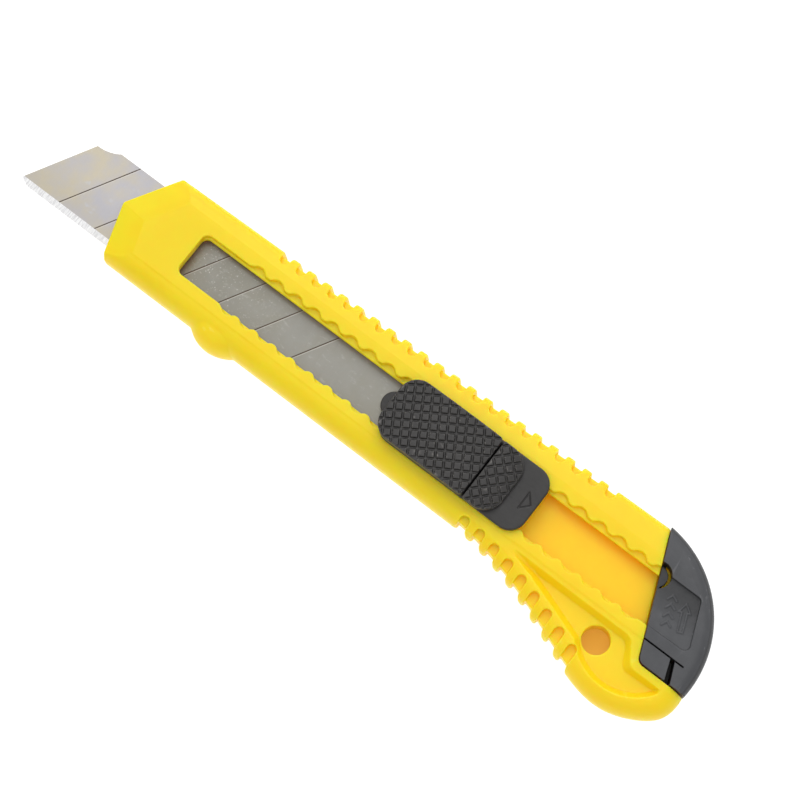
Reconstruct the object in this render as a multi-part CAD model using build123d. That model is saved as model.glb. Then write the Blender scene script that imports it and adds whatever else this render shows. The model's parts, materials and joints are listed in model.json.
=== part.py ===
from build123d import *
import math
import os

# Snap-off utility knife, millimetres.  +X points to the blade tip, +Y to the cutting edge, +Z up
# through the thumb slider.  The origin is on the flat back face, on the centre line of the slot.

# ---- driving dimensions -------------------------------------------------------------------------
# blade: the common 18 mm wide, 100 mm long snap-off size
BLADE_LENGTH = 100.0
BLADE_WIDTH = 18.0
BLADE_THICK = 0.5
BLADE_Y = 0.6                 # the blade rides slightly towards the cutting-edge side
SEGMENT_PITCH = 10.0
SCORE_LINES = 7
SCORE_SLOPE = math.tan(math.radians(60))
SCORE_DEPTH = 0.12
SCORE_WIDTH = 0.26
TIP_WEAR = 1.15               # the tip is worn round: down the front edge
TIP_WEAR_LENGTH = 3.6         # and along the cutting edge
BEVEL_WIDTH = 1.45
BLADE_HOLE_X = 3.1            # from the rear end of the blade
BLADE_HOLE_R = 1.8

# handle, heights of the moulding from the back face up
FLOOR_Z = 4.2                 # floor of the blade channel
ROOF_Z = 6.2                  # underside of the cover
LEDGE_Z = 7.2                 # top of the straight ledge under the waves
COVER_Z = 8.6                 # top of the cover
TOP_FLANK_Z = 8.0             # where the flank on the back-edge side starts to round over
LOW_FLANK_Z = 8.45            # and the one on the cutting-edge side, which the tail shares
BLADE_Z = FLOOR_Z + 0.1       # underside of the blade

# handle, plan shape
NOSE_POINT = (77.1, 0.0)
NOSE_TOP_CORNER = (69.7, -12.0)
NOSE_LOW_CORNER = (73.0, 12.2)
NOSE_BEVEL = 6.3              # width of the sloping facets behind the nose edges
NOSE_EDGE_Z = 7.1
TOP_HALF_FRONT = 11.8         # half width on the back-edge side at X = 75
TOP_HALF_REAR = 14.1          # and at X = -60
LOW_HALF = 12.4               # half width on the cutting-edge side
TOP_ROUND = 2.0
LOW_ROUND = 4.3
BACK_ROUND = 2.2
CREASE_Y = 8.2                # where the flank on the back-edge side starts to slope
CREASE_RUN = 0.2              # width of the small step beside the cover on the other side
STOP_TOP_Z = 8.0              # finger stop, which blends into the flank
STOP_ROUND = 4.6

CHANNEL_HALF = BLADE_WIDTH / 2 + 0.3
SLOT_FRONT_X = 57.9
SLOT_HALF = 5.2               # crests of the waves
SLOT_CORNER_R = 1.6
LEDGE_HALF = 5.1
LEDGE_Y = 0.5
WAVE_PITCH = 5.0
WAVE_DEPTH = 1.1
WAVE_FIRST_X = 43.5           # middle of the foremost hollow
WAVES = 22
CREST_R = 1.5

# slanted rear face, which the end cap slides along
CAP_TOP = Vector(-57.9, -14.3)
CAP_LOW = Vector(-68.95, 12.35)
HOOK_END_X = -80.4
CAP_CORNER_R = 1.8
CAP_GAP = 0.15
RAIL_START = 2.0              # along the slanted face, from its lower end
RAIL_LENGTH = 22.5
RAIL_NECK = 1.3
RAIL_REACH = 3.0
RAIL_CLEAR = 0.2

# grip notches: pockets in the front and back with a thin web between them
NOTCH_W = 2.2
NOTCH_BITE = 1.15             # how far the web stands back from the edge
TOP_MOUTH_R = 0.65
LOW_MOUTH_R = 0.8
TOP_NOTCHES = 21
TOP_NOTCH_FIRST_X = 40.8
TOP_NOTCH_PITCH = 4.235
TOP_NOTCH_DEPTH = 2.7
LOW_NOTCHES = 9
LOW_NOTCH_FIRST_X = -23.6
LOW_NOTCH_PITCH = 4.16
LOW_NOTCH_DEPTH = 3.1         # of the first one; each is a little deeper than the one before
LOW_NOTCH_GROWTH = 0.22
WEB_LOW_Z = 1.6
WEB_TOP_Z = 6.5

HOLE_R = 3.0                  # lanyard hole
HOLE_AT = (-59.6, 13.7)
POCKET_Z = 6.7                # floor of the pocket in the tail
POCKET_SLOPE = 1.4            # how far its walls lean in from the top of the cover to the floor

# slider
PLATE_Z = COVER_Z + 0.25
PLATE_TOP_Z = PLATE_Z + 1.1
PLATE_REAR_X = -33.9
PLATE_HALF = 7.45
PAD_FRONT_X = 3.5
PAD_REAR_X = -20.3
PAD_HALF = 7.35
PAD_ARCH = ((PAD_FRONT_X, 11.9), (-9.0, 13.1), (PAD_REAR_X, 12.6))
KNURL_PITCH = 1.9
KNURL_BASE = 1.56
KNURL_DEPTH = 0.42
KNURL_ROOT = 0.06             # how far each square is sunk in the pad under it
KNURL_TAPER = 16              # degrees
KNURL_MARGIN = 0.12           # plain rim around the squares
KNURL_SCRAP = 0.05            # cut squares smaller than this volume are left out
STEM_HALF = 3.0
STEM_REAR_X = -31.2
GUIDE_HALF = 4.85
PEGS_X = (-4.0, -15.0)
PEG_R = 1.3

# lock slide on the rear of the slider
LOCK_FRONT_X = -20.65
LOCK_REAR_X = -27.7
LOCK_HALF = 7.35
LOCK_Y = 0.15
LOCK_TRAVEL = 4.3
LOCK_ARCH = ((LOCK_FRONT_X, 12.5), (-24.5, 12.1), (LOCK_REAR_X, 11.2))
FOOT_FRONT_X = -21.0
FOOT_REAR_X = -24.8
FOOT_HALF = 3.7
LEG_FRONT_X = -21.2
LEG_REAR_X = -22.9

# sunk thumb pad in the end cap
PAD_DEPTH = 0.9
PAD_EDGE_Y = -5.7             # its upper edge
PAD_TILT = 3.0                # degrees
CHEVRONS = 4
CHEVRON_PITCH = 1.8

CARRIER_Z = BLADE_Z + BLADE_THICK + 0.15
CARRIER_TOP_Z = ROOF_Z - 0.15
CARRIER_REAR_X = -28.0
TAB_AT = (3.1, -0.1)
TAB_R = 2.95
TAB_TOP_Z = CARRIER_TOP_Z + 0.55

SPRING_THICK = 0.35
SPRING_Z = (7.4, 8.4)
BUMP_X = WAVE_FIRST_X - 13 * WAVE_PITCH
BUMP_REACH = SLOT_HALF - 0.2  # the bumps are drawn as they pass under a crest

BELOW, ABOVE = -1.0, 20.0     # a cutter right through the knife runs between these heights
ARC_SHARE = 1 - math.sqrt(0.5)  # how far the middle of a quarter round stands in from its corner


# ---- helpers ------------------------------------------------------------------------------------
def poly(*points):
    """Closed flat face through the points."""
    return make_face(Polyline(*points, close=True))


def slab(face, low, high):
    """The face, drawn on the XY plane, as a solid between two heights."""
    return extrude(Pos(0, 0, low) * face, amount=high - low)


def block(x, y, z):
    """Box between two limits on each axis."""
    size = [hi - lo for lo, hi in (x, y, z)]
    middle = [(hi + lo) / 2 for lo, hi in (x, y, z)]
    return Pos(*middle) * Box(*size)


def rounded(face, radius, keep):
    """The face with the corners that pass the test rounded."""
    return fillet([v for v in face.vertices() if keep(v)], radius)


def top_half(x):
    """Half width of the handle on the back-edge side."""
    t = min(1.0, (75.0 - x) / 135.0)
    return TOP_HALF_FRONT + (TOP_HALF_REAR - TOP_HALF_FRONT) * t


def arch_at(arch, x):
    """Height and lean, in radians, of the circle through three points of the XZ plane, at x."""
    (x1, z1), (x2, z2), (x3, z3) = arch
    d = 2 * (x1 * (z2 - z3) + x2 * (z3 - z1) + x3 * (z1 - z2))
    s1, s2, s3 = (px * px + pz * pz for px, pz in arch)
    cx = (s1 * (z2 - z3) + s2 * (z3 - z1) + s3 * (z1 - z2)) / d
    cz = (s1 * (x3 - x2) + s2 * (x1 - x3) + s3 * (x2 - x1)) / d
    rise = math.sqrt((x1 - cx) ** 2 + (z1 - cz) ** 2 - (x - cx) ** 2)
    return cz + rise, math.atan2(x - cx, rise)


# ---- blade --------------------------------------------------------------------------------------
def make_blade():
    half = BLADE_WIDTH / 2
    top_front = BLADE_LENGTH - BLADE_WIDTH / SCORE_SLOPE
    # the front corner of the back edge carries a shallow hollow
    hollow_front = (top_front + 1.6 / SCORE_SLOPE, -half + 1.6)
    hollow_rear = (top_front - 4.5, -half)
    worn_front = (BLADE_LENGTH - TIP_WEAR / SCORE_SLOPE, half - TIP_WEAR)
    worn_rear = (BLADE_LENGTH - TIP_WEAR_LENGTH, half)
    outline = [
        Line((0, -half), hollow_rear),
        ThreePointArc(hollow_rear, (top_front - 1.5, -half + 1.35), hollow_front),
        Line(hollow_front, worn_front),
        TangentArc(worn_rear, worn_front, tangent=(1, 0)),
        Line(worn_rear, (0, half)),
        Line((0, half), (0, -half)),
    ]
    body = slab(make_face(outline), 0, BLADE_THICK)
    body -= Pos(BLADE_HOLE_X, 0, 0) * Cylinder(BLADE_HOLE_R, 4 * BLADE_THICK)
    # cutting edge, ground from both faces
    for side in (1, -1):
        grind = poly(
            (half - BEVEL_WIDTH, side * BLADE_THICK / 2),
            (half + 0.2, side * 0.02),
            (half + 0.2, side * BLADE_THICK),
            (half - BEVEL_WIDTH, side * BLADE_THICK),
        )
        body -= Pos(-10, 0, BLADE_THICK / 2) * extrude(Plane.YZ * grind, amount=BLADE_LENGTH + 20)
    # score lines: grooves in the top face that stop at the ground edge
    for k in range(1, SCORE_LINES + 1):
        x_back = top_front - SEGMENT_PITCH * k
        y_end = half - BEVEL_WIDTH
        x_end = x_back + (y_end + half) / SCORE_SLOPE
        w = SCORE_WIDTH / 2
        groove = poly((x_back - w, -half), (x_back + w, -half), (x_end + w, y_end), (x_end - w, y_end))
        body -= slab(groove, BLADE_THICK - SCORE_DEPTH, BLADE_THICK + 1)
    return Pos(0, BLADE_Y, BLADE_Z) * body


# ---- handle -------------------------------------------------------------------------------------
def section(x):
    """Outline of the handle across X: flat back and cover, sloping flanks, round sides."""
    top, low = -top_half(x), LOW_HALF
    edges = [
        Line((top + BACK_ROUND, 0), (low - BACK_ROUND, 0)),
        RadiusArc((low - BACK_ROUND, 0), (low, BACK_ROUND), -BACK_ROUND),
        Line((low, BACK_ROUND), (low, LOW_FLANK_Z - LOW_ROUND)),
        RadiusArc((low, LOW_FLANK_Z - LOW_ROUND), (low - LOW_ROUND, LOW_FLANK_Z), -LOW_ROUND),
        Line((low - LOW_ROUND, LOW_FLANK_Z), (low - LOW_ROUND - CREASE_RUN, COVER_Z)),
        Line((low - LOW_ROUND - CREASE_RUN, COVER_Z), (-CREASE_Y, COVER_Z)),
        Line((-CREASE_Y, COVER_Z), (top + TOP_ROUND, TOP_FLANK_Z)),
        RadiusArc((top + TOP_ROUND, TOP_FLANK_Z), (top, TOP_FLANK_Z - TOP_ROUND), -TOP_ROUND),
        Line((top, TOP_FLANK_Z - TOP_ROUND), (top, BACK_ROUND)),
        RadiusArc((top, BACK_ROUND), (top + BACK_ROUND, 0), -BACK_ROUND),
    ]
    return Plane(origin=(x, 0, 0), x_dir=(0, 1, 0), z_dir=(1, 0, 0)) * make_face(edges)


def tail_edge():
    """Outer edge of the flared tail, from the straight lower side round to the tip of the hook."""
    return Spline(
        (-20.0, LOW_HALF), (-31.0, 13.7), (-44.0, 17.3), (-57.0, 22.1), (-68.0, 24.0), (-76.5, 20.8),
        (HOOK_END_X, CAP_LOW.Y),
        tangents=((-1, 0), (0.12, -1)),
    )


def tail_edge_y(x):
    """Y of the outer edge of the tail at x."""
    hit = tail_edge().edge().intersect(Axis((x, 0, 0), (0, 1, 0)))
    points = hit if isinstance(hit, (list, tuple)) else [hit]
    return max(p.Y if isinstance(p, Vector) else p.center().Y for p in points)


def swelling(edge, inner, top_z, top_round):
    """Part of the lower side that bulges out to the edge, rounded above and below."""
    solid = slab(make_face([edge, *inner.edges()]), 0, top_z)
    rim = [e for e in solid.edges() if e.geom_type == GeomType.BSPLINE]
    solid = fillet([e for e in rim if e.center().Z > top_z - 0.1], top_round)
    rim = [e for e in solid.edges() if e.geom_type == GeomType.BSPLINE and e.center().Z < 0.1]
    return fillet(rim, BACK_ROUND)


def make_tail():
    inner = Polyline((HOOK_END_X, CAP_LOW.Y), (-72.0, CAP_LOW.Y), (-68.0, 4.0), (-20.0, 4.0),
                     (-20.0, LOW_HALF))
    return swelling(tail_edge(), inner, LOW_FLANK_Z, LOW_ROUND)


def make_finger_stop():
    front, rear = (52.5, 11.7), (34.5, 12.1)
    edge = Spline(front, (49.6, 12.15), (46.9, 13.75), (43.5, 14.55), (40.2, 13.95), (37.9, 12.75), rear,
                  tangents=((-1, 0), (-1, 0)))
    inner = Polyline(rear, (rear[0], 5.0), (front[0], 5.0), front)
    return swelling(edge, inner, STOP_TOP_Z, STOP_ROUND)


def pocket_outline(inset):
    """Plan shape of the tail pocket, drawn in by the inset to give its walls their slope."""
    start = (-34.2 - 6 * inset, 9.6 + 0.7 * inset)
    waist = (-56.0 - 0.4 * inset, 16.6 - 0.95 * inset)
    tip = (-76.1 + inset, 15.0)
    edges = [
        ThreePointArc(tip, (-66.3, 20.9 - inset), waist),
        ThreePointArc(waist, ((start[0] - 56.0) / 2, 12.9 - 0.07 * inset), start),
        *Polyline(start, (start[0], 8.8 + inset), (-65.1 + 0.3 * inset, 8.8 + inset),
                  (-68.4 + 0.9 * inset, 13.85 + inset), (tip[0], 13.85 + 0.75 * inset), tip).edges(),
    ]
    return rounded(make_face(edges), 2.6 - 0.4 * inset, lambda v: -69 < v.X < -60)


def tail_pocket():
    """Pocket in the front of the tail: straight along the slot, round behind the end cap."""
    floor, top = pocket_outline(POCKET_SLOPE), pocket_outline(0)
    return loft([Pos(0, 0, POCKET_Z) * floor, Pos(0, 0, COVER_Z + 0.1) * top], ruled=True)


def top_edge_y(x):
    """Y of the outer edge on the back-edge side at x."""
    return -top_half(x)


def notch(x, edge_y, side, depth, mouth_r):
    """Cutter of one grip notch in the edge that edge_y gives, whose outside points to side * Y."""
    w, r, q = NOTCH_W / 2, mouth_r, mouth_r * ARC_SHARE
    slope = edge_y(x + 0.5) - edge_y(x - 0.5)

    def at(px, py):
        return px, py + slope * px

    mouth = make_face([
        Line(at(-w, -NOTCH_BITE), at(w, -NOTCH_BITE)),
        Line(at(w, -NOTCH_BITE), at(w, -r)),
        ThreePointArc(at(w, -r), at(w + q, -q), at(w + r, 0)),
        Line(at(w + r, 0), at(w + r, 2)),
        Line(at(w + r, 2), at(-w - r, 2)),
        Line(at(-w - r, 2), at(-w - r, 0)),
        ThreePointArc(at(-w - r, 0), at(-w - q, -q), at(-w, -r)),
        Line(at(-w, -r), at(-w, -NOTCH_BITE)),
    ])
    pocket = Pos(0, -(depth - w) / 2) * Rectangle(NOTCH_W, depth - w) + Pos(0, w - depth) * Circle(w)
    cut = slab(mouth, BELOW, ABOVE) + slab(pocket, WEB_TOP_Z, ABOVE) + slab(pocket, BELOW, WEB_LOW_Z)
    return Pos(x, edge_y(x), 0) * Rot(0, 0, 0 if side > 0 else 180) * cut


def slot_side(side):
    """One long edge of the slot: straight at the front, then waves to the rear."""
    valley_r = ((WAVE_PITCH / 2) ** 2 + WAVE_DEPTH ** 2) / (2 * WAVE_DEPTH) - CREST_R
    reach = CREST_R * (WAVE_PITCH / 2) / (CREST_R + valley_r)
    drop = CREST_R - math.sqrt(CREST_R ** 2 - reach ** 2)
    y0, y1 = SLOT_HALF + drop, SLOT_HALF + WAVE_DEPTH
    edges = []
    for k in range(WAVES):
        x = WAVE_FIRST_X - k * WAVE_PITCH
        half = WAVE_PITCH / 2 - reach
        if k:
            edges.append(ThreePointArc((x + WAVE_PITCH / 2 + reach, side * y0),
                                       (x + WAVE_PITCH / 2, side * SLOT_HALF), (x + half, side * y0)))
        edges.append(ThreePointArc((x + half, side * y0), (x, side * y1), (x - half, side * y0)))
    first = WAVE_FIRST_X + WAVE_PITCH / 2 - reach
    last = WAVE_FIRST_X - (WAVES - 1) * WAVE_PITCH - (WAVE_PITCH / 2 - reach)
    return edges, (first, side * y0), (last, side * y0)


def wave_slot():
    """Plan shape of the slot in the cover."""
    top, top_front, top_rear = slot_side(-1)
    low, low_front, low_rear = slot_side(1)
    front = Polyline(top_front, (WAVE_FIRST_X + WAVE_PITCH / 2, -SLOT_HALF), (SLOT_FRONT_X, -SLOT_HALF),
                     (SLOT_FRONT_X, SLOT_HALF), (WAVE_FIRST_X + WAVE_PITCH / 2, SLOT_HALF), low_front)
    rear = Polyline(top_rear, (top_rear[0] - 0.9, -SLOT_HALF), (-90, -SLOT_HALF), (-90, SLOT_HALF),
                    (low_rear[0] - 0.9, SLOT_HALF), low_rear)
    face = make_face([*top, *low, *front.edges(), *rear.edges()])
    return rounded(face, SLOT_CORNER_R, lambda v: v.X > SLOT_FRONT_X - 0.1)


def nose_facets(solid):
    """Slope the front of the cover and of the back down to the two nose edges."""
    drop = COVER_Z - NOSE_EDGE_Z
    for corner in (NOSE_TOP_CORNER, NOSE_LOW_CORNER):
        a, b = Vector(*NOSE_POINT), Vector(*corner)
        along = (b - a).normalized()
        out = Vector(along.Y, -along.X)
        if out.X < 0:
            out = out * -1
        middle = (a + b) * 0.5
        for height, sign in ((COVER_Z, 1), (0, -1)):
            normal = Vector(out.X * drop, out.Y * drop, sign * NOSE_BEVEL).normalized()
            origin = Vector(middle.X, middle.Y, height) - out * NOSE_BEVEL
            plane = Plane(origin=origin, x_dir=along, z_dir=normal)
            solid -= plane * Box(60, 60, 10, align=(Align.CENTER, Align.CENTER, Align.MIN))
    return solid


def cap_frame():
    """Plane at the lower end of the slanted face: X along it to the back edge, -Y into the cap."""
    return Plane(origin=CAP_LOW, x_dir=(CAP_TOP - CAP_LOW).normalized(), z_dir=(0, 0, 1))


def rail(clear, start, length):
    """T rail on the slanted face that holds the end cap."""
    along = (start, start + length)
    neck = block(along, (-RAIL_NECK - clear, 1.0), (1.8 - clear, 3.0 + clear))
    head = block(along, (-RAIL_REACH - clear, -RAIL_NECK + clear), (1.2 - clear, 3.6 + clear))
    return cap_frame() * (neck + head)


def cap_space():
    """Plan shape of everything behind the slanted face and above the hook."""
    up = CAP_TOP + (CAP_TOP - CAP_LOW) * 0.3
    face = poly(up, CAP_LOW, (-100, CAP_LOW.Y), (-100, up.Y))
    return rounded(face, CAP_CORNER_R, lambda v: abs(v.X - CAP_LOW.X) < 0.1 and v.Y > 12)


def nose_outline():
    """Plan shape of the body, pointed at the nose and open-ended elsewhere."""
    face = poly(NOSE_POINT, NOSE_LOW_CORNER, (72.6, 30), (-120, 30), (-120, -30), (69.3, -30),
                NOSE_TOP_CORNER)
    return rounded(face, 1.1, lambda v: v.X > 60 and abs(v.Y) < 13)


def make_handle():
    shell = loft([section(-72), section(80)], ruled=True)
    shell &= slab(nose_outline(), BELOW, ABOVE)
    shell = nose_facets(shell)
    shell += make_finger_stop()
    shell += make_tail()
    shell -= slab(cap_space(), BELOW, ABOVE)
    shell -= tail_pocket()
    shell -= Pos(*HOLE_AT, 0) * Cylinder(HOLE_R, 2 * ABOVE)
    # channel for the blade, straight ledge slot, waved slot
    channel = (BLADE_Y - CHANNEL_HALF, BLADE_Y + CHANNEL_HALF)
    shell -= block((-90, 90), channel, (FLOOR_Z, ROOF_Z))
    ledge = Pos((SLOT_FRONT_X - 90) / 2, LEDGE_Y) * Rectangle(SLOT_FRONT_X + 90, 2 * LEDGE_HALF)
    shell -= slab(rounded(ledge, SLOT_CORNER_R, lambda v: v.X > 0), ROOF_Z - 0.5, LEDGE_Z)
    shell -= slab(wave_slot(), LEDGE_Z, ABOVE)
    # grip notches along both edges
    for k in range(TOP_NOTCHES):
        x = TOP_NOTCH_FIRST_X - k * TOP_NOTCH_PITCH
        shell -= notch(x, top_edge_y, -1, TOP_NOTCH_DEPTH, TOP_MOUTH_R)
    for k in range(LOW_NOTCHES):
        x = LOW_NOTCH_FIRST_X - k * LOW_NOTCH_PITCH
        shell -= notch(x, tail_edge_y, 1, LOW_NOTCH_DEPTH + k * LOW_NOTCH_GROWTH, LOW_MOUTH_R)
    return shell + rail(0, RAIL_START, RAIL_LENGTH)


# ---- end cap ------------------------------------------------------------------------------------
def line_mark(points, width, low, high, close=True):
    """Raised or sunk line of one width through the points."""
    path = Polyline(*points, close=close)
    return slab(trace(path.edges(), width), low, high)


def cap_outline():
    """Plan shape of the end cap: along the slanted face, over the hook, round the rear."""
    out = Vector((CAP_TOP - CAP_LOW).Y, (CAP_LOW - CAP_TOP).X).normalized() * CAP_GAP
    if out.X > 0:
        out = out * -1
    front, tip = CAP_LOW + out, CAP_TOP + out
    low_y = CAP_LOW.Y - 0.3
    slope = (tip.X - front.X) / (tip.Y - front.Y)
    corner = (front.X + (low_y - front.Y) * slope, low_y)
    rear, shoulder = (HOOK_END_X - 0.1, low_y), (tip.X - 0.7, tip.Y)
    face = make_face([
        Line((tip.X, tip.Y), corner),
        Line(corner, rear),
        ThreePointArc(rear, (-74.2, -6.6), shoulder),
        Line(shoulder, (tip.X, tip.Y)),
    ])
    return rounded(face, CAP_CORNER_R, lambda v: abs(v.X - corner[0]) < 0.1 and v.Y > 11)


def cap_marks(surface):
    """Arrow along the slanted face and a column of chevrons beside it, as raised lines."""
    along = (CAP_TOP - CAP_LOW).normalized()
    across = Vector(-along.Y, along.X)

    def at(u, v):
        point = Vector(-72.1, 2.3) + along * u + across * v
        return point.X, point.Y

    low, high = surface - 0.3, surface + 1.2
    head = [at(4.1, -0.55), at(4.1, -1.2), at(6.0, 0), at(4.1, 1.2), at(4.1, 0.55)]
    arrow = [at(0, -0.55), *head, at(0, 0.55)]
    marks = line_mark(arrow, 0.24, low, high)
    for k in range(CHEVRONS):
        u = 0.5 + CHEVRON_PITCH * k
        marks += line_mark([at(u, 2.0), at(u + 1.1, 3.05), at(u, 4.1)], 0.3, low, high, close=False)
    return marks


def make_end_cap():
    face = cap_outline()
    cap = slab(face, 0, COVER_Z)
    outer = [e for e in cap.edges() if e.geom_type == GeomType.CIRCLE and e.radius > 15]
    cap = fillet([e for e in outer if e.center().Z > COVER_Z - 0.1], 2.6)
    outer = [e for e in cap.edges() if e.geom_type == GeomType.CIRCLE and e.radius > 15]
    cap = fillet([e for e in outer if e.center().Z < 0.1], 1.8)
    cap -= rail(RAIL_CLEAR, -6.0, RAIL_START + RAIL_LENGTH + 6.3)
    # sunk thumb pad, deepest along its upper edge
    pad = poly((-55, PAD_EDGE_Y), (-71.7, PAD_EDGE_Y - 0.05), (-76.1, 4.9), (-55, 5.4))
    pad = rounded(pad, 1.2, lambda v: v.X < -60)
    surface = COVER_Z - PAD_DEPTH
    tilt = Pos(0, PAD_EDGE_Y, surface) * Rot(PAD_TILT, 0, 0) * Pos(0, -PAD_EDGE_Y, -surface)
    cap -= tilt * slab(pad, surface, ABOVE)
    # half-round opening over the rail with the latch tongue in it
    cap -= slab(Pos(-61.7, -4.6) * Circle(2.8), 3.6, ABOVE)
    tongue = slab(Pos(-61.6, -4.3) * Circle(2.3), 4.2, 7.0)
    tongue += block((-63.4, -59.0), (-4.3, -1.2), (4.2, 7.0))
    cap += tongue & slab(face, 0, COVER_Z)
    # slit beside the pad, and the slot that a segment is snapped off in
    cap -= block((-76.9, -60.0), (7.43, 7.78), (COVER_Z - 1.4, ABOVE))
    cap -= slab(poly((-73.66, 7.5), (-74.71, 7.5), (-77.2, 13.2), (-75.75, 13.2)), 1.6, ABOVE)
    return cap + (cap_marks(surface) & tilt * slab(pad, surface - 0.2, surface + 0.14))


# ---- slider -------------------------------------------------------------------------------------
def arch_solid(outline, arch, low, drop):
    """The plan outline raised from low up to the arch, which is lowered by drop."""
    front, rear = arch[0][0] + 0.6, arch[2][0] - 0.6
    top_front, top_rear = [(x, arch_at(arch, x)[0] - drop) for x in (front, rear)]
    profile = make_face([
        Line((rear, low), (front, low)),
        Line((front, low), top_front),
        ThreePointArc(top_front, (arch[1][0], arch[1][1] - drop), top_rear),
        Line(top_rear, (rear, low)),
    ])
    return extrude(Plane.XZ * profile, amount=ABOVE, both=True) & slab(outline, low, ABOVE)


def knurl(outline, arch, angle, centre):
    """Tapered squares that stand on the lowered arch inside the outline."""
    turn = math.radians(angle)
    ux, uy = math.cos(turn), math.sin(turn)
    square = Rot(0, 0, angle) * Rectangle(KNURL_BASE, KNURL_BASE)
    clip = slab(offset(outline, amount=-KNURL_MARGIN), PLATE_Z, ABOVE)
    count = math.ceil((PAD_FRONT_X - PAD_REAR_X) / KNURL_PITCH)
    height = KNURL_DEPTH + KNURL_ROOT
    pieces = []
    for i in range(-count, count + 1):
        for j in range(-count, count + 1):
            x = centre[0] + KNURL_PITCH * (i * ux - j * uy)
            y = centre[1] + KNURL_PITCH * (i * uy + j * ux)
            if not (arch[2][0] - 1.0 < x < arch[0][0] + 1.0 and abs(y) < PAD_HALF + 1.0):
                continue
            z, lean = arch_at(arch, x)
            plane = Plane(origin=(x, y, z - height), x_dir=(math.cos(lean), 0, -math.sin(lean)),
                          z_dir=(math.sin(lean), 0, math.cos(lean)))
            piece = extrude(plane * square, amount=height, taper=KNURL_TAPER) & clip
            if piece is not None and piece.volume > KNURL_SCRAP:
                pieces.append(piece)
    return pieces


def pad_outline():
    """Plan shape of the knurled thumb pad."""
    face = Pos((PAD_FRONT_X + PAD_REAR_X) / 2, 0) * Rectangle(PAD_FRONT_X - PAD_REAR_X, 2 * PAD_HALF)
    face = rounded(face, 4.3, lambda v: v.X > 0)
    return rounded(face, 0.9, lambda v: v.X < -19)


def lock_outline():
    """Plan shape of the lock slide."""
    middle, length = (LOCK_FRONT_X + LOCK_REAR_X) / 2, LOCK_FRONT_X - LOCK_REAR_X
    face = Pos(middle, LOCK_Y) * Rectangle(length, 2 * LOCK_HALF)
    face = rounded(face, 4.4, lambda v: v.X < -25)
    return rounded(face, 0.4, lambda v: v.X > -21)


def peg(x, radius, low, length):
    """Round peg that joins the carrier to the thumb slider."""
    return Pos(x, 0, low) * Cylinder(radius, length, align=(Align.CENTER, Align.CENTER, Align.MIN))


def make_thumb_slider():
    outline = pad_outline()
    pad = arch_solid(outline, PAD_ARCH, PLATE_Z, KNURL_DEPTH)
    pad = pad.fuse(*knurl(outline, PAD_ARCH, 31.3, (-1.1, -3.45)))
    front = PAD_FRONT_X - 0.4
    plate = Pos((front + PLATE_REAR_X) / 2, 0) * Rectangle(front - PLATE_REAR_X, 2 * PLATE_HALF)
    plate = slab(rounded(plate, 3.9, lambda v: True), PLATE_Z, PLATE_TOP_Z)
    plate = fillet([e for e in plate.edges() if e.center().Z > PLATE_TOP_Z - 0.01], 0.3)
    body = pad + plate
    # slots for the two legs of the lock slide
    for side in (-1, 1):
        body -= block((LEG_REAR_X - LOCK_TRAVEL - 0.1, LEG_FRONT_X + 0.1),
                      tuple(sorted((side * 1.5, side * 3.1))), (PLATE_Z - 0.1, PLATE_TOP_Z + 0.1))
    # triangle mark that the lock slide covers when it is pulled back
    mark = [(-30.9, -1.95), (-30.9, 2.05), (-32.7, 0.1)]
    body -= line_mark(mark, 0.26, PLATE_TOP_Z - 0.18, PLATE_TOP_Z + 1)
    # stem in the waved slot and guide in the ledge slot
    stem_y, stem_z = (-STEM_HALF, STEM_HALF), (LEDGE_Z - 0.3, PLATE_Z + 0.2)
    body += block((-19.5, 0.6), stem_y, stem_z)
    body += block((STEM_REAR_X, -29.9), stem_y, stem_z)
    guide_y = (LEDGE_Y - GUIDE_HALF, LEDGE_Y + GUIDE_HALF)
    body += block((STEM_REAR_X, 1.5), guide_y, (CARRIER_TOP_Z + 0.05, LEDGE_Z - 0.15))
    for x in PEGS_X:
        body -= peg(x, PEG_R + 0.05, CARRIER_TOP_Z, 2.2)
    return body


def make_lock_slide():
    outline = lock_outline()
    base_z = PLATE_TOP_Z + 0.15
    body = arch_solid(outline, LOCK_ARCH, base_z, KNURL_DEPTH)
    body = body.fuse(*knurl(outline, LOCK_ARCH, 46.5, (-24.8, -3.1)))
    # two legs through the plate and the foot that joins them
    for side in (-1, 1):
        leg_y = tuple(sorted((side * 1.7, side * 2.9)))
        body += block((LEG_REAR_X, LEG_FRONT_X), leg_y, (7.6, base_z + 0.2))
    return body + block((FOOT_REAR_X, FOOT_FRONT_X), (-FOOT_HALF, FOOT_HALF), (7.45, 8.6))


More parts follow.
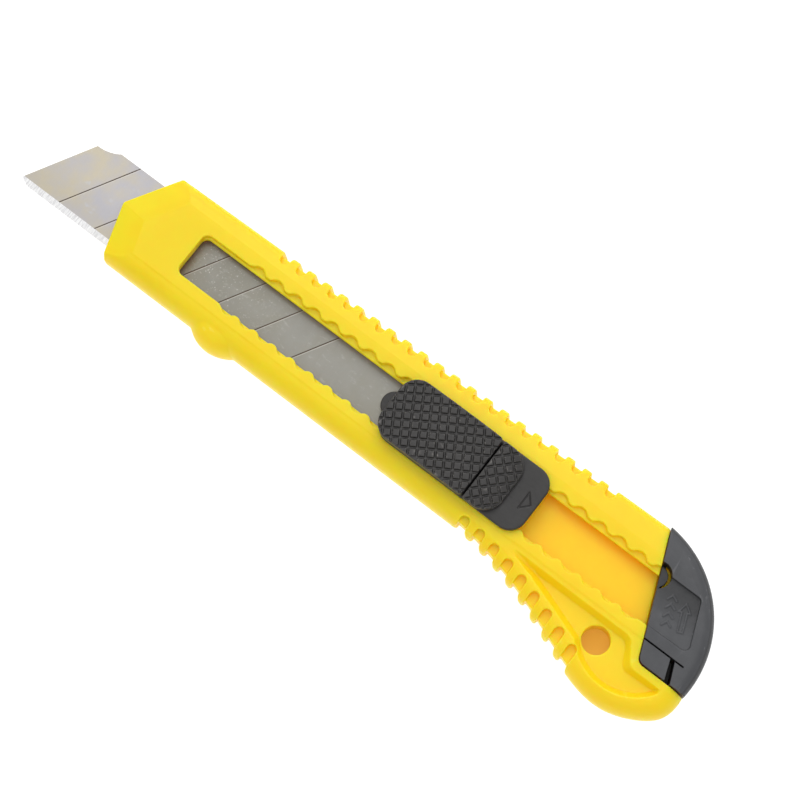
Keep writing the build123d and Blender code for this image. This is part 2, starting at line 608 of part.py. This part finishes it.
def make_blade_carrier():
    half = CHANNEL_HALF - 0.4
    sides = (BLADE_Y - half, BLADE_Y + half)
    body = block((CARRIER_REAR_X, 1.9), sides, (CARRIER_Z, CARRIER_TOP_Z))
    body += block((CARRIER_REAR_X, -0.4), sides, (BLADE_Z, CARRIER_Z + 0.1))
    # round tab in front, raised where it shows in the slot
    tab = Pos(*TAB_AT, 0) * Circle(TAB_R)
    body += slab(tab, CARRIER_Z, CARRIER_TOP_Z)
    raised = slab(tab, CARRIER_TOP_Z - 0.1, TAB_TOP_Z) & block((1.75, 9), (-9, 9), (0, ABOVE))
    body += fillet([e for e in raised.edges() if e.center().Z > TAB_TOP_Z - 0.01 and e.center().X > 2], 0.25)
    # pin through the hole of the blade, pegs into the thumb slider
    pin = Cylinder(BLADE_HOLE_R - 0.12, 1.0, align=(Align.CENTER, Align.CENTER, Align.MIN))
    body += Pos(BLADE_HOLE_X, BLADE_Y, BLADE_Z) * pin
    for x in PEGS_X:
        body += peg(x, PEG_R, CARRIER_TOP_Z - 0.1, 2.2)
    # the rear corners are cut off to clear the slanted end cap
    for y in sides:
        body -= Pos(CARRIER_REAR_X, y, 5) * Rot(0, 0, 45) * Box(1.6, 1.6, 10)
    return body


def make_detent_spring():
    """Leaf bent to a U, with a bump near the end of each arm."""
    r, q = 0.9, 0.9 * ARC_SHARE
    front = 1.3
    bend_y, foot_y, bump_y, end_y = 3.45, 4.1, BUMP_REACH - SPRING_THICK / 2, 4.03
    arm = [
        Line((front, 0), (front, bend_y - r)),
        ThreePointArc((front, bend_y - r), (front - q, bend_y - q), (front - r, bend_y)),
        Line((front - r, bend_y), (BUMP_X + 1.9, foot_y)),
        ThreePointArc((BUMP_X + 1.9, foot_y), (BUMP_X, bump_y), (BUMP_X - 1.9, foot_y)),
        Line((BUMP_X - 1.9, foot_y), (BUMP_X - 2.8, end_y)),
    ]
    half = slab(trace(arm, SPRING_THICK), *SPRING_Z)
    return half + mirror(half, about=Plane.XZ)


PARTS = {
    "handle_body": make_handle,
    "blade": make_blade,
    "blade_carrier": make_blade_carrier,
    "thumb_slider": make_thumb_slider,
    "lock_slide": make_lock_slide,
    "detent_spring": make_detent_spring,
    "end_cap": make_end_cap,
}

if __name__ == "__main__":
    os.makedirs("parts", exist_ok=True)
    for name, make in PARTS.items():
        export_step(make(), f"parts/{name}.step")
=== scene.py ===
import json
import math

import bmesh
import bpy
from mathutils import Euler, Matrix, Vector


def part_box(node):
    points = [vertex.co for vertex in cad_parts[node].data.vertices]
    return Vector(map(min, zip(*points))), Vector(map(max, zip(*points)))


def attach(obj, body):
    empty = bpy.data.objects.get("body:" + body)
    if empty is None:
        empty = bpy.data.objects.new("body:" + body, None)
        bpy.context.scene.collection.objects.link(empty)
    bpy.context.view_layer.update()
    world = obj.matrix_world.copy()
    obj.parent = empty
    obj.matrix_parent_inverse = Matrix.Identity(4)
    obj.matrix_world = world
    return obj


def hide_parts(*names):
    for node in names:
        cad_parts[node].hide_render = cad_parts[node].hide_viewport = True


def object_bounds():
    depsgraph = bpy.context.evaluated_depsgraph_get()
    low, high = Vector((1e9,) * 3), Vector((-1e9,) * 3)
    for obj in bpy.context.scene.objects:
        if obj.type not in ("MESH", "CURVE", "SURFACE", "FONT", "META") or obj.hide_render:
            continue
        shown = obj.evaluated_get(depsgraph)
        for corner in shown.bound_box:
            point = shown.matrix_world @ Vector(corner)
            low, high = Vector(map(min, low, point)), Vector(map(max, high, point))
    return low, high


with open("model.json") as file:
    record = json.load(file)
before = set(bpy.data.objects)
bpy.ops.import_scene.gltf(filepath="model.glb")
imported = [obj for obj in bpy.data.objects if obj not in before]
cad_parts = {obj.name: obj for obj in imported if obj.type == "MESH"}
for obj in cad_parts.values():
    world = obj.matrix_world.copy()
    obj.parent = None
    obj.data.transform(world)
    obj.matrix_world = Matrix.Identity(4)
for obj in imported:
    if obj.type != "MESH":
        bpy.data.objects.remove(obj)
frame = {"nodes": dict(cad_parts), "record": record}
cad_low, cad_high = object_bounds()
scene = bpy.context.scene

MM = 0.001

# the handle and the blade, millimetres
CHANNEL_HALF = 9.0             # half the width of the blade's channel
CHANNEL_TOP_Z = 5.6
SHADE_Y = (-5.5, -2.0)         # where the shade under the upper edge of the slot fades out
BLADE_TIP_X = 100.0            # of an unworn blade
BEVEL_WIDTH = 1.45             # ground band along the cutting edge
SEGMENT_PITCH = 10.0
SCORE_LINES = 7
SCORE_SLOPE = math.tan(math.radians(60))
SLIDER_SHADE_RUB_Z = 10.2            # the slider's edges are paled, partly as worn and partly as a painted highlight, only above this height; below it the slider is painted in shade
CAP_SHADE_RUB_Z = 8.1                # and the end cap's edges above this one, with painted shade below it

# the camera, metres and degrees, and the light
CAMERA_PLACE = (-0.0736, 0.0562, 0.4298)
CAMERA_TURN = (12.3206, 3.3523, -142.1131)
CAMERA_LENS = 93.28
SENSOR_WIDTH = 36.0
WORLD_LIGHT = 0.66
FLOOR_GLOW = 0.90
FLOOR_HALF = 15
FLOOR_GAP = 0.0001


# ---- small helpers for node materials -----------------------------------------------------------
class Material:
    """A node material built by calls: every call adds one node and returns its output."""

    def __init__(self, name):
        self.material = bpy.data.materials.new(name)
        self.material.use_nodes = True
        self.tree = self.material.node_tree
        self.shader = self.tree.nodes["Principled BSDF"]

    def connect(self, value, socket):
        if isinstance(value, bpy.types.NodeSocket):
            self.tree.links.new(value, socket)
        elif isinstance(value, (tuple, list)) and len(value) == 3 and socket.type == "RGBA":
            socket.default_value = (*value, 1)
        else:
            socket.default_value = value

    def add(self, kind, output=0, settings=None, **inputs):
        node = self.tree.nodes.new(kind)
        for key, value in (settings or {}).items():
            setattr(node, key, value)
        for key, value in inputs.items():
            self.connect(value, node.inputs[key])
        return node.outputs[output]

    def math(self, operation, a, b=0.0, clamp=False):
        node = self.tree.nodes.new("ShaderNodeMath")
        node.operation = operation
        node.use_clamp = clamp
        self.connect(a, node.inputs[0])
        self.connect(b, node.inputs[1])
        return node.outputs[0]

    def position(self):
        """Place in the part's frame, in millimetres."""
        return self.add("ShaderNodeVectorMath", settings={"operation": "SCALE"},
                        Vector=self.add("ShaderNodeTexCoord", "Object"), Scale=1000.0)

    def split(self, point):
        node = self.tree.nodes.new("ShaderNodeSeparateXYZ")
        self.connect(point, node.inputs[0])
        return node.outputs[:3]

    def stretched(self, point, scale, turn=0.0):
        node = self.tree.nodes.new("ShaderNodeMapping")
        self.connect(point, node.inputs["Vector"])
        node.inputs["Scale"].default_value = scale
        node.inputs["Rotation"].default_value = (0, 0, turn)
        return node.outputs[0]

    def offset(self, point, by):
        node = self.tree.nodes.new("ShaderNodeVectorMath")
        node.operation = "ADD"
        self.connect(point, node.inputs[0])
        node.inputs[1].default_value = by
        return node.outputs[0]

    def noise(self, point, scale, detail=4.0, roughness=0.55):
        return self.add("ShaderNodeTexNoise", Vector=point, Scale=scale, Detail=detail,
                        Roughness=roughness)

    def ramp(self, value, low, high, out_low=0.0, out_high=1.0):
        """Maps low..high of the value to out_low..out_high, held at both ends."""
        node = self.tree.nodes.new("ShaderNodeMapRange")
        node.clamp = True
        for socket, number in zip(("Value", "From Min", "From Max", "To Min", "To Max"),
                                  (value, low, high, out_low, out_high)):
            self.connect(number, node.inputs[socket])
        return node.outputs[0]

    def mix(self, share, a, b):
        node = self.tree.nodes.new("ShaderNodeMix")
        node.data_type = "RGBA"
        self.connect(share, node.inputs[0])
        self.connect(a, node.inputs[6])
        self.connect(b, node.inputs[7])
        return node.outputs[2]

    def bump(self, height, strength, distance, normal=None):
        node = self.tree.nodes.new("ShaderNodeBump")
        node.inputs["Strength"].default_value = strength
        node.inputs["Distance"].default_value = distance
        self.connect(height, node.inputs["Height"])
        if normal is not None:
            self.connect(normal, node.inputs["Normal"])
        return node.outputs[0]

    def specks(self, point, spacing, size):
        """1 in small round spots about one spacing apart, 0 elsewhere."""
        cells = self.add("ShaderNodeTexVoronoi", 0, Vector=point, Scale=1.0 / spacing)
        return self.ramp(cells, size * 0.6, size, 1.0, 0.0)

    def edge_light_shade_and_wear(self, low, high):
        # pointiness ramp: painted shade in creases, painted highlight on edges, and worn edges
        pointiness = self.add("ShaderNodeNewGeometry", "Pointiness")
        return self.ramp(pointiness, low, high)

    def finish(self, **sockets):
        for key, value in sockets.items():
            self.connect(value, self.shader.inputs[key.replace("_", " ")])
        return self.material


def rgb(red, green, blue):
    """Linear colour from the usual 0-255 values."""
    def linear(value):
        value /= 255
        return value / 12.92 if value <= 0.04045 else ((value + 0.055) / 1.055) ** 2.4
    return tuple(linear(v) for v in (red, green, blue))


# ---- materials ----------------------------------------------------------------------------------
def handle_plastic():
    """Yellow moulded plastic that light enters a little way, so shadows turn orange. The channel is painted
    a shaded orange, creases get painted shade, lips get a painted highlight, and a faint painted glow in the
    channel and on the slot walls stands for light that crosses the plastic."""
    cover_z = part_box("handle_body")[1].z / MM
    m = Material("handle_yellow_plastic")
    p = m.position()
    _, y, z = m.split(p)
    clouds = m.noise(p, 0.05, 3.0)
    colour = m.mix(m.ramp(clouds, 0.35, 0.65), rgb(255, 219, 26), rgb(254, 214, 14))
    # painted shade: in the channel the yellow is coloured a shaded orange, strongest under the upper edge of
    # the slot
    inside = m.ramp(m.math("ABSOLUTE", y), CHANNEL_HALF, CHANNEL_HALF + 1, 1.0, 0.0)
    channel_shade = m.math("MULTIPLY", m.ramp(z, CHANNEL_TOP_Z - 1, CHANNEL_TOP_Z + 1, 1.0, 0.0), inside)
    shaded = m.mix(m.ramp(y, *SHADE_Y), rgb(255, 188, 0), rgb(255, 212, 20))
    colour = m.mix(channel_shade, colour, shaded)
    # painted glow: the channel floor and the top of the slot walls give off a faint orange light, standing
    # in for light that crosses the plastic
    walls = m.math("MULTIPLY", m.ramp(z, cover_z - 0.7, cover_z - 0.3, 0.5, 0.0), inside)
    painted_glow = m.mix(m.math("MAXIMUM", channel_shade, walls), (0.0, 0.0, 0.0), (1.0, 0.60, 0.0))
    # painted shade: creases and hollows turn a darker orange
    crease_shade = m.edge_light_shade_and_wear(0.49, 0.40)
    colour = m.mix(m.math("MULTIPLY", crease_shade, 0.45), colour, rgb(255, 192, 0))
    # painted highlight: bright pale lips along the edges
    rim_highlight = m.edge_light_shade_and_wear(0.51, 0.58)
    colour = m.mix(m.math("MULTIPLY", rim_highlight, 0.35), colour, rgb(255, 232, 90))
    colour = m.mix(m.math("MULTIPLY", m.specks(p, 9.0, 0.02), 0.75), colour, rgb(150, 96, 10))
    colour = m.mix(m.math("MULTIPLY", m.specks(m.stretched(p, (0.9, 1.1, 1.0), 0.7), 17.0, 0.012), 0.7),
                   colour, rgb(255, 250, 220))
    grain = m.noise(p, 2.6, 3.0)
    scratches = m.noise(m.stretched(p, (0.12, 2.2, 1.0)), 1.4, 2.0)
    roughness = m.ramp(m.math("ADD", grain, scratches), 0.7, 1.3, 0.34, 0.46)
    normal = m.bump(m.noise(p, 0.55, 2.0), 0.10, 0.00025)
    normal = m.bump(grain, 0.12, 0.00004, normal)
    m.shader.inputs["Subsurface Radius"].default_value = (1.0, 0.42, 0.08)
    return m.finish(Base_Color=colour, Roughness=roughness, Normal=normal, Subsurface_Weight=0.75,
                    Subsurface_Scale=0.0035, IOR=1.5, Specular_IOR_Level=0.33,
                    Emission_Color=painted_glow, Emission_Strength=0.07)


def black_plastic(name, dark, light, edge, shade_colour, worn_lit_share, sunk, share):
    """Dark moulded plastic, satin, with paler edges that are partly worn and partly a painted highlight, and
    painted shade in corners.
    Below the height sunk it is darker, by the share, as painted shade, and its edges are not paled."""
    m = Material(name)
    p = m.position()
    patches = m.noise(p, 0.22, 3.0)
    colour = m.mix(m.ramp(patches, 0.35, 0.65), dark, light)
    # painted shade: below the height sunk the plastic is darkened by the share
    raised = m.ramp(m.split(p)[2], sunk - 0.25, sunk)
    colour = m.mix(m.math("SUBTRACT", share, m.math("MULTIPLY", raised, share)), colour, shade_colour)
    # painted shade: grooves and inner corners darkened
    colour = m.mix(m.edge_light_shade_and_wear(0.495, 0.44), colour, shade_colour)
    # paler edges: partly worn, partly a painted highlight, patchy along their length
    worn_lit_edges = m.math("MULTIPLY", m.edge_light_shade_and_wear(0.52, 0.60), m.ramp(m.noise(p, 0.5, 4.0), 0.40, 0.62, 0.3, 1.0))
    colour = m.mix(m.math("MULTIPLY", m.math("MULTIPLY", worn_lit_edges, raised), worn_lit_share), colour, edge)
    dust = m.specks(p, 5.5, 0.018)
    colour = m.mix(m.math("MULTIPLY", dust, 0.25), colour, rgb(150, 148, 145))
    grain = m.noise(p, 5.5, 3.0)
    rub = m.noise(m.stretched(p, (0.7, 2.4, 1.0), 0.5), 0.9, 4.0)
    roughness = m.ramp(m.math("ADD", grain, rub), 0.75, 1.25, 0.38, 0.55)
    normal = m.bump(grain, 0.22, 0.00006)
    return m.finish(Base_Color=colour, Roughness=roughness, Normal=normal, IOR=1.5, Specular_IOR_Level=0.5)


def blade_steel():
    """Ground carbon steel: faint stains, cross-ground cutting edge, brown score lines."""
    low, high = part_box("blade")
    m = Material("blade_ground_steel")
    p = m.position()
    x, y, _ = m.split(p)
    # bare and a little stained in front of the nose; where the handle covers it the steel is painted darker
    # and greyer, as painted shade, with paler blotches
    stains = m.noise(p, 0.11, 4.0, 0.55)
    bare = m.mix(m.ramp(stains, 0.40, 0.62), rgb(184, 176, 158), rgb(176, 174, 178))
    bloom = m.noise(m.stretched(p, (0.5, 0.9, 1.0), 0.9), 0.55, 3.0)
    bare = m.mix(m.ramp(bloom, 0.64, 0.72, 0.0, 0.3), bare, rgb(186, 192, 204))
    shaded_inside = m.mix(m.ramp(stains, 0.38, 0.62), rgb(134, 132, 123), rgb(141, 140, 134))
    blotches = m.noise(m.stretched(p, (0.45, 1.0, 1.0), 0.6), 1.1, 5.0, 0.65)
    shaded_inside = m.mix(m.ramp(blotches, 0.58, 0.74, 0.0, 0.4), shaded_inside, rgb(172, 173, 168))
    nose_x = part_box("handle_body")[1].x / MM
    colour = m.mix(m.ramp(x, nose_x - 21, nose_x - 10), shaded_inside, bare)
    # pale specks in the front part of the slot
    speckle = m.math("MULTIPLY", m.ramp(m.noise(p, 2.4, 2.0), 0.62, 0.74, 0.0, 0.6), m.ramp(x, 30, 48))
    speckle = m.math("MULTIPLY", speckle, m.ramp(x, nose_x - 14, nose_x - 4, 1.0, 0.15))
    colour = m.mix(speckle, colour, rgb(200, 200, 194))
    colour = m.mix(m.math("MULTIPLY", m.specks(p, 12.0, 0.024), 0.85), colour, rgb(60, 52, 44))
    # the ground band along the cutting edge
    band_y = high.y / MM - BEVEL_WIDTH
    band = m.ramp(y, band_y - 0.05, band_y + 0.05)
    ground = m.noise(m.stretched(p, (1.0, 0.06, 1.0)), 3.2, 2.0, 0.7)
    colour = m.mix(band, colour, m.mix(m.ramp(ground, 0.38, 0.62), rgb(226, 225, 226), rgb(255, 255, 255)))
    # score lines slope at 60 degrees, one every 10 mm back from the tip, each with a painted glint on one
    # side
    along = m.math("SUBTRACT", x, m.math("DIVIDE", m.math("SUBTRACT", y, low.y / MM), SCORE_SLOPE))
    tip_x = BLADE_TIP_X - (high.y - low.y) / MM / SCORE_SLOPE
    steps = m.math("DIVIDE", m.math("SUBTRACT", along, tip_x), SEGMENT_PITCH)
    across = m.math("SUBTRACT", m.math("FRACT", m.math("ADD", steps, 20.5)), 0.5)
    scored = m.math("MULTIPLY", m.ramp(steps, -0.3, -0.2, 1.0, 0.0),
                    m.ramp(steps, -0.4 - SCORE_LINES, -0.3 - SCORE_LINES))
    scored = m.math("MULTIPLY", m.ramp(y, band_y, band_y + 0.05, 1.0, 0.0), scored)
    line = m.ramp(m.math("ABSOLUTE", across), 0.010, 0.016, 1.0, 0.0)
    glint = m.ramp(m.math("ABSOLUTE", m.math("ADD", across, 0.026)), 0.008, 0.016, 1.0, 0.0)
    colour = m.mix(m.math("MULTIPLY", m.math("MULTIPLY", glint, scored), 0.2), colour, rgb(226, 222, 214))
    colour = m.mix(m.math("MULTIPLY", m.math("MULTIPLY", line, scored), 0.95), colour, rgb(88, 74, 62))
    hairlines = m.noise(m.stretched(p, (1.0, 0.03, 1.0), 0.2), 5.0, 3.0, 0.6)
    roughness = m.ramp(m.math("ADD", hairlines, stains), 0.7, 1.3, 0.38, 0.50)
    normal = m.bump(m.mix(band, hairlines, ground), 0.08, 0.00003)
    return m.finish(Base_Color=colour, Roughness=roughness, Normal=normal, Metallic=0.75, Anisotropic=0.35)


def spring_steel():
    m = Material("spring_strip_steel")
    p = m.position()
    drawn = m.noise(m.stretched(p, (0.1, 1.0, 3.0)), 4.0, 3.0)
    colour = m.mix(m.ramp(drawn, 0.35, 0.65), rgb(150, 150, 152), rgb(188, 187, 184))
    return m.finish(Base_Color=colour, Roughness=m.ramp(drawn, 0.3, 0.7, 0.28, 0.42),
                    Normal=m.bump(drawn, 0.15, 0.00003), Metallic=1.0)


def floor_material():
    """White paper lit from below, except under the lanyard hole, where a tan painted shade with a dim orange
    glow stands for shaded light tinted by the handle.
    """
    m = Material("floor_paper")
    p = m.position()
    grain = m.noise(p, 0.4, 3.0)
    hole = next(mount for mount in frame["record"]["mounts"] if mount["name"] == "lanyard_hole")
    centre = Vector(hole["pos_m"]) / MM
    reach = m.add("ShaderNodeVectorMath", "Value", {"operation": "LENGTH"},
                  Vector=m.offset(p, (-centre.x, -centre.y, 0)))
    # painted shade: the floor under the lanyard hole is tan and glows dim orange
    open_floor = m.ramp(reach, 4.5, 6.0)
    colour = m.mix(grain, (0.33, 0.33, 0.33), (0.35, 0.35, 0.35))
    colour = m.mix(open_floor, rgb(226, 186, 96), colour)
    glow = m.mix(open_floor, (0.24, 0.14, 0.02), (1.0, 1.0, 1.0))
    return m.finish(Base_Color=colour, Roughness=0.9, Specular_IOR_Level=0.1,
                    Emission_Color=glow, Emission_Strength=FLOOR_GLOW)


# ---- moulded pieces -----------------------------------------------------------------------------
def moulded(node, body, material, voxel, passes, faces):
    """The node's shape with every edge and corner softened, as a mould leaves it."""
    source = frame["nodes"][node]
    piece = bpy.data.objects.new(node + "_moulded", source.data.copy())
    scene.collection.objects.link(piece)
    remesh = piece.modifiers.new("skin", "REMESH")
    remesh.mode = "VOXEL"
    remesh.voxel_size = voxel * MM
    smooth = piece.modifiers.new("soften", "SMOOTH")
    smooth.factor = 0.5
    smooth.iterations = passes
    apply_modifiers(piece)
    count = sum(len(p.vertices) - 2 for p in piece.data.polygons)
    if count > faces:
        thin = piece.modifiers.new("thin", "DECIMATE")
        thin.ratio = faces / count
        apply_modifiers(piece)
    piece.data.shade_smooth()
    piece.data.materials.clear()
    piece.data.materials.append(material)
    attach(piece, body)
    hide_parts(node)
    return piece


def apply_modifiers(piece):
    depsgraph = bpy.context.evaluated_depsgraph_get()
    mesh = bpy.data.meshes.new_from_object(piece.evaluated_get(depsgraph))
    piece.modifiers.clear()
    piece.data = mesh


def refinish(node, material):
    """Gives a CAD node its finished material."""
    for slot in frame["nodes"][node].material_slots:
        slot.material = material


# ---- surroundings -------------------------------------------------------------------------------
def make_floor():
    mesh = bpy.data.meshes.new("floor")
    shape = bmesh.new()
    bmesh.ops.create_grid(shape, x_segments=8, y_segments=8, size=FLOOR_HALF)
    shape.to_mesh(mesh)
    shape.free()
    floor = bpy.data.objects.new("floor", mesh)
    floor.location.z = cad_low.z - FLOOR_GAP
    scene.collection.objects.link(floor)
    mesh.materials.append(floor_material())


def area_light(name, place, size, power):
    light = bpy.data.lights.new(name, "AREA")
    light.shape = "SQUARE"
    light.size = size
    light.energy = power
    lamp = bpy.data.objects.new(name, light)
    lamp.location = place
    lamp.rotation_euler = (-Vector(place)).to_track_quat("-Z", "Y").to_euler()
    scene.collection.objects.link(lamp)


def make_lights():
    world = bpy.data.worlds.new("studio")
    world.use_nodes = True
    background = world.node_tree.nodes["Background"]
    background.inputs["Color"].default_value = (1, 1, 1, 1)
    background.inputs["Strength"].default_value = WORLD_LIGHT
    scene.world = world
    area_light("key", (0.18, -0.42, 0.52), size=0.65, power=2.15)
    area_light("fill", (-0.1, 0.5, 0.6), size=0.8, power=0.2)
    area_light("top", (0.05, 0.0, 0.9), size=0.7, power=0.9)


def make_camera():
    camera = bpy.data.cameras.new("camera")
    camera.lens = CAMERA_LENS
    camera.sensor_width = SENSOR_WIDTH
    holder = bpy.data.objects.new("camera", camera)
    holder.location = CAMERA_PLACE
    holder.rotation_euler = Euler([math.radians(a) for a in CAMERA_TURN], "XYZ")
    scene.collection.objects.link(holder)
    scene.camera = holder


# ---- build --------------------------------------------------------------------------------------
slider_plastic = black_plastic(
    "slider_black_plastic", dark=rgb(43, 41, 40), light=rgb(50, 48, 47), edge=rgb(118, 114, 110),
    shade_colour=rgb(18, 16, 15), worn_lit_share=0.8, sunk=SLIDER_SHADE_RUB_Z, share=0.3)
cap_plastic = black_plastic(
    "cap_black_plastic", dark=rgb(66, 67, 70), light=rgb(73, 74, 77), edge=rgb(128, 128, 132),
    shade_colour=rgb(34, 34, 36), worn_lit_share=0.3, sunk=CAP_SHADE_RUB_Z, share=0.8)

moulded("handle_body", "handle", handle_plastic(), voxel=0.14, passes=9, faces=190000)
moulded("thumb_slider", "slider", slider_plastic, voxel=0.09, passes=2, faces=150000)
moulded("lock_slide", "lock", slider_plastic, voxel=0.08, passes=3, faces=60000)
moulded("end_cap", "cap", cap_plastic, voxel=0.10, passes=3, faces=80000)
refinish("blade", blade_steel())
refinish("blade_carrier", slider_plastic)
refinish("detent_spring", spring_steel())

make_floor()
make_lights()
make_camera()
scene.view_settings.view_transform = "Standard"
